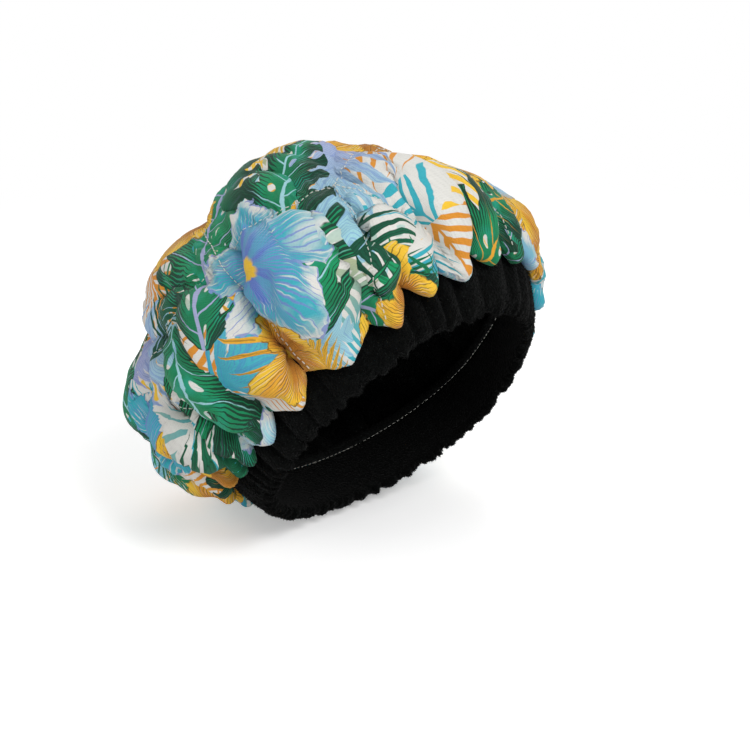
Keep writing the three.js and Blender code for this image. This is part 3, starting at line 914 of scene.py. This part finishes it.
def add_bump(n, shader, height, strength, distance):
    bump = n.fill(n.add("ShaderNodeBump"), Strength=strength, Distance=distance, Height=height)
    n.put(shader.inputs["Normal"], Term(n, bump.outputs[0]))


def seam_puckers(n, cloth):
    """Short gathers across each seam, where the thread draws the cloth in"""
    a, b, _ = n.split(n.uv("seams") * CELLS)
    uneven = n.noise(cloth, 0.12, 1.0) * 2.5
    along_a = n.wave(b * 17 + uneven) * n.step(n.wave(a), 0.30, 0.0)
    along_b = n.wave(a * 17 + uneven) * n.step(n.wave(b), 0.30, 0.0)
    return along_a + along_b


def cotton_material(ink):
    material, n, shader = principled("printed_cotton", 0.82, specular=0.2, sheen=0.06)
    cloth = (n.uv("cloth") - (0.5, 0.5, 0)) * (2 * CLOTH_RADIUS / MM)
    colour = print_colour(n, cloth, ink)
    x, y, _ = n.split(cloth)
    weave = n.wave(x / 0.9) * n.wave(y / 0.9)
    slub = n.noise(n.vector("MULTIPLY", cloth, (0.25, 2.4, 1)), 1.0)
    n.fill(shader, Base_Color=n.mix(weave * 0.22 + slub * 0.42, colour, colour * 0.68))
    crumple = n.noise(cloth, 0.09, 3.0) + n.noise(cloth, 0.45, 2.0) * 0.16
    add_bump(n, shader, crumple + weave * 0.18 + slub * 0.2 + seam_puckers(n, cloth) * 1.4, 0.7, 1.2 * MM)
    return material


def terry_material(name, colour):
    material, n, shader = principled(name, 0.95, specular=0.05, sheen=0.02)
    place = n.place()
    loops = n.fill(n.add("ShaderNodeTexVoronoi"), Vector=place, Scale=700)
    fuzz = n.noise(place, 1500)
    # Pale patches are partly dust on the black loops and partly painted sheen. The bright specks are painted
    # highlights on the loops' tips.
    dust_and_sheen = n.step(n.noise(place, 260, 3.0), 0.45, 0.8)
    painted_glints = n.step(n.noise(place, 1400, 1.0), 0.66, 0.8)
    # The painted sheen and then the painted highlights lighten the terry's colour.
    cloth = n.mix(dust_and_sheen * fuzz, colour, times(colour, 5))
    n.fill(shader, Base_Color=n.mix(painted_glints, cloth, times(colour, 16)))
    add_bump(n, shader, 1 - Term(n, loops.outputs["Distance"]) + fuzz * 0.5, 0.9, 1.2 * MM)
    return material


def elastic_material(colour):
    material, n, shader = principled("elastic", 0.7)
    across, around, _ = n.split(n.uv("cloth"))
    rib = n.wave(across * 14)
    # Painted shade: the colour darkens in the grooves between the ribs, where the bump is low.
    n.fill(shader, Base_Color=n.mix((1 - rib) * 0.3, colour, times(colour, 0.6)))
    add_bump(n, shader, rib + n.wave(around * 300) * 0.4, 0.5, 0.5 * MM)
    return material


def thread_material(colour):
    material, n, shader = principled("thread", 0.55)
    x, y, z = n.split(n.place())
    ply = n.wave((x + y + z) * 1100)
    n.fill(shader, Base_Color=n.mix(ply * 0.3, colour, times(colour, 0.6)))
    add_bump(n, shader, ply, 0.5, 0.2 * MM)
    return material


def seed_material(colour):
    material, n, shader = principled("flax_seed", 0.35)
    stretched = n.vector("MULTIPLY", n.place(), (1.0, 1.7, 1.3))
    grains = n.fill(n.add("ShaderNodeTexVoronoi"), Vector=stretched, Scale=330)
    distance, chance = (Term(n, grains.outputs[name]) for name in ("Distance", "Color"))
    body = n.mix(n.split(chance)[0], colour, times(colour, 1.9))
    # Painted shade: the colour turns nearly black in the gaps between the grains, where the bump is lowest.
    n.fill(shader, Base_Color=n.mix(n.step(distance, 0.35, 0.6), body, times(colour, 0.15)))
    add_bump(n, shader, 1 - distance, 1.0, 1 * MM)
    return material


def length_setting(name, description, default, low, high):
    return bpy.props.FloatProperty(
        name=name, description=description, default=default, min=low, max=high, unit="LENGTH", precision=4)


def colour_setting(name, description, default):
    return bpy.props.FloatVectorProperty(
        name=name, description=description, default=default, min=0, max=1, size=3, subtype="COLOR")


class HeatCapSizes(bpy.types.PropertyGroup):
    """Sizes of the cap's soft pieces"""

    puff_out: length_setting("Puff", "How far a full pocket stands out", 11 * MM, 0, 0.03)
    puff_in: length_setting("Inner puff", "How far a pocket stands in towards the hair", 3 * MM, 0, 0.01)
    sag: length_setting("Sag", "How far the seeds pull a pocket down over the seam below", 5 * MM, 0, 0.02)
    pucker: length_setting("Pucker", "Height of the small puckers along a seam", 1.5 * MM, 0, 0.003)
    crease: length_setting("Crease", "Height of the uneven creases in the cotton", 0.7 * MM, 0, 0.003)
    stitch_pitch: length_setting("Stitch pitch", "Length of one stitch and its gap", 3.2 * MM, 0.001, 0.01)
    thread_width: length_setting("Thread width", "Width of the sewing thread", 0.65 * MM, 0.0002, 0.002)
    pleat_depth: length_setting("Pleat depth", "Depth of the terry band's pleats", 4.2 * MM, 0, 0.006)


class HeatCapColours(bpy.types.PropertyGroup):
    """Colours of the print, terry, thread, elastic and seeds"""

    ground: colour_setting("Ground", "Off-white ground of the print", (0.70, 0.69, 0.65))
    green: colour_setting("Green", "Emerald of the leaves", (0.009, 0.285, 0.11))
    dark_green: colour_setting("Dark green", "Shaded leaves and fronds", (0.008, 0.085, 0.045))
    ink: colour_setting("Ink", "Fine dark lines of the drawing", (0.006, 0.022, 0.016))
    turquoise: colour_setting("Turquoise", "Strong turquoise petals", (0.04, 0.39, 0.47))
    pale_blue: colour_setting("Pale blue", "Washed blue of petals and veins", (0.33, 0.60, 0.66))
    blue: colour_setting("Blue", "Deep blue at the flowers' hearts", (0.08, 0.16, 0.52))
    lilac: colour_setting("Lilac", "Lilac veins", (0.37, 0.40, 0.62))
    yellow: colour_setting("Yellow", "Yellow petals", (0.84, 0.52, 0.04))
    ochre: colour_setting("Ochre", "Orange and ochre shades", (0.68, 0.27, 0.03))
    terry: colour_setting("Terry", "Black terry of the band", (0.0012, 0.0014, 0.0013))
    lining: colour_setting("Lining", "Black terry of the lining", (0.004, 0.0045, 0.0043))
    thread: colour_setting("Thread", "Sewing thread", (0.72, 0.72, 0.66))
    elastic: colour_setting("Elastic", "Woven elastic tape", (0.72, 0.70, 0.66))
    seed: colour_setting("Seed", "Flax seeds", (0.22, 0.09, 0.03))


class HEATCAP_OT_camera(bpy.types.Operator):
    """Place the camera at the photograph's viewing angle"""

    bl_idname = "heatcap.camera"
    bl_label = "Camera"

    def execute(self, context):
        level = math.cos(CAMERA_ELEVATION)
        back = Vector((
            math.sin(CAMERA_AZIMUTH) * level, -math.cos(CAMERA_AZIMUTH) * level, math.sin(CAMERA_ELEVATION)))
        right = Vector((math.cos(CAMERA_AZIMUTH), math.sin(CAMERA_AZIMUTH), 0))
        up = back.cross(right)
        place = back * CAMERA_DISTANCE + right * CAMERA_RIGHT + up * CAMERA_UP
        data = bpy.data.cameras.new("camera")
        data.sensor_width = SENSOR_WIDTH
        data.lens = FOCAL_SHARE * SENSOR_WIDTH
        camera = bpy.data.objects.new("camera", data)
        camera.matrix_world = Matrix.Translation(place) @ Matrix((right, up, back)).transposed().to_4x4()
        context.scene.collection.objects.link(camera)
        context.scene.camera = camera
        return {"FINISHED"}


class HEATCAP_OT_studio(bpy.types.Operator):
    """Make the pale floor, the backdrop and the soft lamps"""

    bl_idname = "heatcap.studio"
    bl_label = "Studio"

    def execute(self, context):
        deselect()
        bpy.ops.mesh.primitive_plane_add(size=PAPER_SIZE, location=(0, 0, CAD_LOW.z - PAPER_GAP))
        floor = context.object
        floor.name = "floor"
        material, n, shader = principled("studio_paper", 0.95, specular=0.1)
        fleck = n.noise(n.place(), 40, 3.0)
        n.fill(shader, Base_Color=n.mix(fleck, (0.90, 0.90, 0.90), (0.94, 0.94, 0.94)))
        glow = n.fill(n.add("ShaderNodeEmission"), Color=(1, 1, 1), Strength=n.seen() * PAPER_GLOW)
        near = n.add("ShaderNodeAddShader")
        white = n.fill(n.add("ShaderNodeEmission"), Color=(1, 1, 1))
        whole = n.add("ShaderNodeMixShader")
        far = n.step(n.vector("LENGTH", n.place()), *PAPER_FADE) * n.seen()
        n.put(whole.inputs[0], far)
        for first, second in ((shader.outputs[0], near.inputs[0]), (glow.outputs[0], near.inputs[1]),
                              (near.outputs[0], whole.inputs[1]), (white.outputs[0], whole.inputs[2]),
                              (whole.outputs[0], n.tree.nodes["Material Output"].inputs[0])):
            n.tree.links.new(first, second)
        floor.data.materials.append(material)

        world = bpy.data.worlds.new("studio")
        world.use_nodes = True
        context.scene.world = world
        w = Nodes(world.node_tree)
        light = w.seen() * WORLD_SEEN + WORLD_LIGHT
        w.fill(world.node_tree.nodes["Background"], Color=(1, 1, 1), Strength=light)

        for name, place, size, power in LAMPS:
            data = bpy.data.lights.new(name, "AREA")
            data.size = size
            data.energy = power
            lamp = bpy.data.objects.new(name, data)
            lamp.location = place
            lamp.rotation_euler = (Vector(BODY_CENTRE) - lamp.location).to_track_quat("-Z", "Y").to_euler()
            context.scene.collection.objects.link(lamp)
        context.scene.view_settings.view_transform = "Standard"
        return {"FINISHED"}


class HEATCAP_OT_cover(bpy.types.Operator):
    """Make the quilted and gathered round of printed cotton"""

    bl_idname = "heatcap.cover"
    bl_label = "Printed cover"

    def execute(self, context):
        scene = context.scene
        quilt, points = cloth_surface(scene.heat_cap_sizes, COTTON_STEPS)
        count = len(quilt.lines)
        cotton = cotton_material(palette(scene))
        cover = mesh_piece(
            "printed_cover", points, grid_faces(count, count), cotton,
            cloth=np.stack([quilt.x, quilt.y], -1) / 2 + 0.5,
            seams=np.stack([quilt.a, quilt.b], -1) / CELLS + 0.5)
        thicken(cover, COTTON_THICKNESS)
        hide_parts("outer_cover")
        return {"FINISHED"}


class HEATCAP_OT_lining(bpy.types.Operator):
    """Make the terry lining against the hair"""

    bl_idname = "heatcap.lining"
    bl_label = "Terry lining"

    def execute(self, context):
        scene = context.scene
        quilt, points = lining_surface(scene.heat_cap_sizes, LINING_STEPS)
        count = len(quilt.lines)
        terry = terry_material("lining_terry", palette(scene).lining)
        lining = mesh_piece("terry_lining", points, grid_faces(count, count), terry)
        thicken(lining, LINING_THICKNESS)
        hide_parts("lining")
        return {"FINISHED"}


class HEATCAP_OT_seeds(bpy.types.Operator):
    """Fill each pocket of the quilting with flax seed"""

    bl_idname = "heatcap.seeds"
    bl_label = "Seed fillings"

    def execute(self, context):
        scene = context.scene
        sizes = scene.heat_cap_sizes
        material = seed_material(palette(scene).seed)
        quilt, outside = cloth_surface(sizes, LINING_STEPS)
        _, inside = lining_surface(sizes, LINING_STEPS)
        filled = quilt.height > SEEDS_FROM
        for column in range(CELLS):
            for row in range(CELLS):
                if column in (0, CELLS - 1) and row in (0, CELLS - 1):
                    continue
                mask = (quilt.column == column) & (quilt.row == row) & filled
                pick = np.ix_(np.flatnonzero(mask.any(axis=1)), np.flatnonzero(mask.any(axis=0)))
                gap = outside[pick] - inside[pick]
                swell = SEEDS_DEEP * smooth(quilt.height[pick], *SEEDS_SWELL)[..., None]
                top = inside[pick] + gap * (0.5 + swell)
                under = inside[pick] + gap * (0.5 - swell)
                place = f"{column + 1}_{row + 1}"
                self.pillow(f"seeds_{place}", f"seed_fill_{place}", top, under, material)
        return {"FINISHED"}

    def pillow(self, name, node, top, under, material):
        """Closes the space between a grid on top and one under it"""
        rows, columns = top.shape[:2]
        faces = grid_faces(rows, columns)
        count = rows * columns
        index = np.arange(count).reshape(rows, columns)
        rim = np.concatenate([index[0, :-1], index[:-1, -1], index[-1, :0:-1], index[:0:-1, 0]])
        after = np.roll(rim, -1)
        walls = np.stack([rim, rim + count, after + count, after], -1)
        points = np.concatenate([top.reshape(-1, 3), under.reshape(-1, 3)])
        pillow = mesh_piece(name, points, np.concatenate([faces, faces[:, ::-1] + count, walls]), material)
        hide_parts(node)


def band_profile(angle, pleat):
    """Points of the casing's section: the outer leg from its top, the edge on the head and the inner leg"""
    top = BAND_REACH
    full = BAND_THICKNESS
    steps = [(top, full), (top * 0.86, full + 0.5 * pleat), (top * 0.68, full + pleat),
             (top * 0.48, full + 1.1 * pleat), (top * 0.28, full + pleat), (top * 0.13, full + 0.8 * pleat),
             (top * 0.04, full * 0.86 + 0.5 * pleat), (-0.6 * MM, full * 0.55 + 0.2 * pleat),
             (-0.2 * MM, full * 0.25), (top * 0.04, 0.2 * MM), (top * 0.3, 0), (top * 0.65, 0), (top, 0)]
    alongs = np.array([np.broadcast_to(step[0], angle.shape) for step in steps])
    outs = np.array([np.broadcast_to(step[1], angle.shape) for step in steps])
    return alongs, outs


def band_surface(pleat_depth, around, steps):
    """Outer face of the casing's cloth: rows run along its section and columns run round the edge"""
    angle = np.linspace(-math.pi, math.pi, around, endpoint=False)
    uneven = ripple(np.cos(angle) * 1.2, np.sin(angle) * 1.2, 21)
    phase = PLEATS * angle + PLEAT_UNEVENNESS * uneven
    depth = 0.75 + 0.25 * ripple(np.cos(angle) * 4, np.sin(angle) * 4, 8)
    ridge = np.abs(np.cos(phase / 2)) ** PLEAT_POWER * depth
    alongs, outs = band_profile(angle, pleat_depth * ridge)
    count = alongs.shape[0]
    fine = np.linspace(0, count - 1, steps)
    low = np.minimum(fine.astype(int), count - 2)
    share = fine - low

    def spline(values):
        before = values[np.maximum(low - 1, 0)]
        here, there = values[low], values[low + 1]
        after = values[np.minimum(low + 2, count - 1)]
        t = share[:, None]
        slope = there - before
        bend = 2 * before - 5 * here + 4 * there - after
        twist = 3 * here - before - 3 * there + after
        return 0.5 * (2 * here + slope * t + bend * t ** 2 + twist * t ** 3)

    along, out = spline(alongs), spline(outs)
    lean = 0.018 * np.sin(5 * angle + 1.3) + 0.010 * np.sin(13 * angle)
    turned = angle[None, :] + lean[None, :] * np.linspace(1, 0, steps)[:, None]
    tufts = ripple(np.cos(angle) * 12, np.sin(angle) * 12, 4, 9)
    ragged = (TUFT_RAGGED * np.clip(2 * tufts, -1, 1) - PLEAT_RAGGED * (ridge - 0.6)) * MM
    along = along + ragged[None, :] * smooth(-np.abs(along), -8 * MM, 0)
    return turned, along, out


class HEATCAP_OT_band(bpy.types.Operator):
    """Make the pleated terry casing of the edge and its loops"""

    bl_idname = "heatcap.band"
    bl_label = "Terry edge"

    AROUND = 720
    STEPS = 44
    LOOPS_FROM = 3
    LOOPS_TO = 0.74 * STEPS

    def execute(self, context):
        scene = context.scene
        angle, along, out = band_surface(scene.heat_cap_sizes.pleat_depth, self.AROUND, self.STEPS)
        points = band_point(angle, along, out)
        colour = palette(scene).terry
        faces = grid_faces(self.STEPS, self.AROUND, wrap=True)[:, ::-1]
        casing = mesh_piece("edge_casing", points, faces, terry_material("band_terry", colour))
        thicken(casing, BAND_CLOTH)
        loops = self.loops(points, terry_material("loop_terry", colour))
        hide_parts("edge_band")
        return {"FINISHED"}

    def loops(self, points, material):
        """Short tufts all over the outer leg and the edge of the casing"""
        normal = unit(np.cross(np.gradient(points, axis=1), np.gradient(points, axis=0)))
        if (normal * (points - BODY_CENTRE)).sum() < 0:
            normal = -normal
        chance = np.random.default_rng(7)
        rows = chance.uniform(self.LOOPS_FROM, self.LOOPS_TO, LOOP_COUNT)
        columns = chance.uniform(0, self.AROUND, LOOP_COUNT)
        low_row, low_column = rows.astype(int), columns.astype(int)
        share_row, share_column = (rows - low_row)[:, None], (columns - low_column)[:, None]
        next_column = (low_column + 1) % self.AROUND

        def along_row(field, row):
            return field[row, low_column] * (1 - share_column) + field[row, next_column] * share_column

        def between(field):
            return along_row(field, low_row) * (1 - share_row) + along_row(field, low_row + 1) * share_row

        root, up = between(points), unit(between(normal))
        lean = unit(chance.normal(size=(LOOP_COUNT, 3)))
        side = unit(np.cross(up, lean))
        front = np.cross(side, up)
        tall = chance.uniform(*LOOP_HEIGHTS, LOOP_COUNT)[:, None] * MM
        wide = chance.uniform(*LOOP_WIDTHS, LOOP_COUNT)[:, None] * MM
        bend = chance.uniform(-0.5, 0.5, LOOP_COUNT)[:, None] * tall
        sunk = root - LOOP_ROOT * MM * up
        base = [sunk + side * wide, sunk + front * wide, sunk - side * wide, sunk - front * wide]
        tip = root + up * tall + front * bend
        vertices = np.stack([*base, tip], 1).reshape(-1, 3)
        start = np.arange(LOOP_COUNT)[:, None] * 5
        faces = np.concatenate([start + [corner, (corner + 1) % 4, 4] for corner in range(4)])
        return mesh_piece("band_loops", vertices, faces, material)


class HEATCAP_OT_elastic(bpy.types.Operator):
    """Make the woven elastic tape in the casing"""

    bl_idname = "heatcap.elastic"
    bl_label = "Elastic tape"

    def execute(self, context):
        around, steps = 480, 9
        angle = np.linspace(-math.pi, math.pi, around, endpoint=False)[None, :]
        across = np.linspace(0, 1, steps)[:, None]
        wave = TAPE_RIPPLE_HEIGHT * np.sin(TAPE_RIPPLES * angle)
        along = BAND_CLOTH + 0.6 * MM + TAPE_WIDTH * across + 0 * angle
        out = BAND_CLOTH + BAND_HOLLOW / 2 + 0.4 * MM + wave + 0 * across
        uvs = np.stack(np.broadcast_arrays(across, (angle / math.pi + 1) / 2), -1)
        woven = elastic_material(palette(context.scene).elastic)
        faces = grid_faces(steps, around, wrap=True)
        tape = mesh_piece("elastic_tape", band_point(angle, along, out), faces, woven, cloth=uvs)
        thicken(tape, TAPE_THICKNESS)
        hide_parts("elastic")
        return {"FINISHED"}


def stitch_row(name, path, pitch, width, material):
    """One stitch copied along a path and bent to it"""
    curve = bpy.data.curves.new(name + "_path", "CURVE")
    curve.dimensions = "3D"
    spline = curve.splines.new("POLY")
    spline.points.add(len(path) - 1)
    spline.points.foreach_set("co", np.append(path, np.ones((len(path), 1)), axis=1).ravel())
    guide = bpy.data.objects.new(name + "_path", curve)
    bpy.context.scene.collection.objects.link(guide)
    deselect()
    length = STITCH_SHARE * pitch
    bpy.ops.mesh.primitive_cylinder_add(
        vertices=STITCH_SIDES, radius=width / 2, depth=length,
        rotation=(0, math.pi / 2, 0), location=(length / 2, 0, 0))
    stitch = bpy.context.object
    bpy.ops.object.transform_apply(location=True, rotation=True, scale=True)
    bpy.ops.object.mode_set(mode="EDIT")
    bpy.ops.mesh.select_all(action="SELECT")
    bpy.ops.mesh.bevel(offset=width * STITCH_BEVEL, segments=1)
    bpy.ops.object.mode_set(mode="OBJECT")
    stitch.name = name
    stitch.data.name = name
    copies = stitch.modifiers.new("Row", "ARRAY")
    copies.fit_type = "FIT_CURVE"
    copies.curve = guide
    copies.use_relative_offset = False
    copies.use_constant_offset = True
    copies.constant_offset_displace = (pitch, 0, 0)
    bend = stitch.modifiers.new("Seam", "CURVE")
    bend.object = guide
    apply_modifiers(stitch)
    bpy.data.objects.remove(guide)
    stitch.data.materials.append(material)
    make_active(stitch)
    bpy.ops.object.shade_smooth()
    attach(stitch, BODY)
    return stitch


class HEATCAP_OT_stitches(bpy.types.Operator):
    """Sew the grid's seams and the hem, stitch by stitch"""

    bl_idname = "heatcap.stitches"
    bl_label = "Stitches"

    def execute(self, context):
        scene = context.scene
        sizes = scene.heat_cap_sizes
        quilt, points = cloth_surface(sizes, COTTON_STEPS)
        normal = grid_normals(points)
        thread = thread_material(palette(scene).thread)
        for seam in range(1, CELLS):
            line = quilt.rim_steps + (seam - 1) * quilt.inner_steps
            for node, piece, pick in (
                    (f"long_seam_thread_{seam}", f"long_stitches_{seam}", np.s_[line, :]),
                    (f"cross_seam_thread_{seam}", f"cross_stitches_{seam}", np.s_[:, line])):
                shown = quilt.share[pick] < LIP_SHARE
                path = (points[pick] + normal[pick] * STITCH_LIFT * MM)[shown]
                row = stitch_row(piece, path, sizes.stitch_pitch, sizes.thread_width, thread)
                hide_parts(node)
        angle = np.linspace(-math.pi, math.pi, 361)
        hem = band_point(angle, BAND_REACH - HEM_INSET, LINING_HEM_OUT + LAYER_OFFSET - STITCH_LIFT * MM)
        row = stitch_row("hem_stitches", hem, sizes.stitch_pitch, sizes.thread_width, thread)
        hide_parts("hem_thread")
        return {"FINISHED"}


class HEATCAP_PT_panel(bpy.types.Panel):
    """Lists the cap's sizes, colours and makers"""

    bl_idname = "HEATCAP_PT_panel"
    bl_label = "Heat Cap"
    bl_space_type = "VIEW_3D"
    bl_region_type = "UI"
    bl_category = "Heat Cap"

    def draw(self, context):
        for settings in (context.scene.heat_cap_sizes, context.scene.heat_cap_colours):
            box = self.layout.box()
            for name in settings.__annotations__:
                box.prop(settings, name)
        for maker in MAKERS:
            self.layout.operator(maker.bl_idname)


MAKERS = (
    HEATCAP_OT_camera, HEATCAP_OT_studio, HEATCAP_OT_cover, HEATCAP_OT_lining, HEATCAP_OT_seeds,
    HEATCAP_OT_band, HEATCAP_OT_elastic, HEATCAP_OT_stitches)
CLASSES = (HeatCapSizes, HeatCapColours, *MAKERS, HEATCAP_PT_panel)


def register():
    for cls in CLASSES:
        bpy.utils.register_class(cls)
    bpy.types.Scene.heat_cap_sizes = bpy.props.PointerProperty(type=HeatCapSizes)
    bpy.types.Scene.heat_cap_colours = bpy.props.PointerProperty(type=HeatCapColours)


def unregister():
    del bpy.types.Scene.heat_cap_colours
    del bpy.types.Scene.heat_cap_sizes
    for cls in reversed(CLASSES):
        bpy.utils.unregister_class(cls)


def main():
    register()
    for maker in MAKERS:
        family, name = maker.bl_idname.split(".")
        getattr(getattr(bpy.ops, family), name)()


if __name__ == "__main__":
    main()
